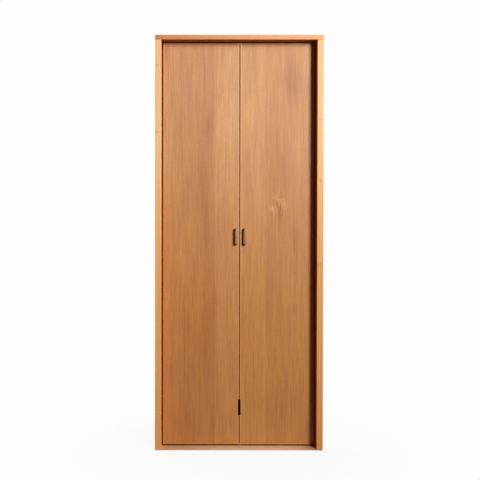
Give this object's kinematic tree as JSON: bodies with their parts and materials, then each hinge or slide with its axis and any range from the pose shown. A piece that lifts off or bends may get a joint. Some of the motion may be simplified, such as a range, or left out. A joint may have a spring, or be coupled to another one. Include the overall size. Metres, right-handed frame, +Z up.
{
  "type": "bi-fold door",
  "caption": "Flush wood bi-fold door: paired leaves hinged together behind, with pivots, head track, guide roller and bridge pulls, in a four-sided wood frame.",
  "frame": {"origin": "middle of the frame's underside, at floor level", "axes": "+Z up along the door's height, +X to the right along its width as seen from the front, the front with the pulls faces -Y"},
  "size_m": [0.839, 0.116, 2.072],
  "materials": {
    "frame_wood": "satin clear varnish on fine straight-grained softwood",
    "leaf_veneer": "satin clear varnish on straight-grained veneer",
    "leaf_lipping": "satin clear varnish on solid edging",
    "pull_bronze": "satin, taupe bronze plating",
    "track_aluminium": "mill finish extrusion",
    "hinge_steel": "satin nickel plated steel",
    "pivot_steel": "bright zinc plated steel",
    "slot_black": "matt black moulding",
    "seal_pile": "black wool pile on a woven backing",
    "roller_nylon": "natural nylon"
  },
  "bodies": {
    "root": {"head_board": "frame_wood", "left_jamb": "frame_wood", "right_jamb_lower": "frame_wood", "right_jamb_upper": "frame_wood", "sill": "frame_wood", "left_pile_seal": "seal_pile", "right_pile_seal": "seal_pile", "joint_pile_seal": "seal_pile", "left_head_seal": "seal_pile", "right_head_seal": "seal_pile", "left_foot_seal": "seal_pile", "right_foot_seal": "seal_pile", "head_track": "track_aluminium", "left_leaf_panel": "leaf_veneer", "left_outer_lipping": "leaf_lipping", "left_meeting_lipping_upper": "leaf_lipping", "left_meeting_lipping_lower": "leaf_lipping", "left_top_lipping": "leaf_lipping", "left_bottom_lipping": "leaf_lipping", "right_leaf_panel": "leaf_veneer", "right_outer_lipping": "leaf_lipping", "right_meeting_lipping": "leaf_lipping", "right_top_lipping": "leaf_lipping", "right_bottom_lipping": "leaf_lipping", "left_pull": "pull_bronze", "right_pull": "pull_bronze", "left_slot_cup": "slot_black", "right_slot_cup": "slot_black", "top_pivot_bracket": "pivot_steel", "top_pivot_pin": "pivot_steel", "bottom_pivot_bracket": "pivot_steel", "bottom_pivot_pin": "pivot_steel", "guide_pin": "pivot_steel", "guide_roller": "roller_nylon", "upper_hinge_left_plate": "hinge_steel", "upper_hinge_right_plate": "hinge_steel", "upper_hinge_pin": "hinge_steel", "middle_hinge_left_plate": "hinge_steel", "middle_hinge_right_plate": "hinge_steel", "middle_hinge_pin": "hinge_steel", "lower_hinge_left_plate": "hinge_steel", "lower_hinge_right_plate": "hinge_steel", "lower_hinge_pin": "hinge_steel"}
  },
  "joints": []
}
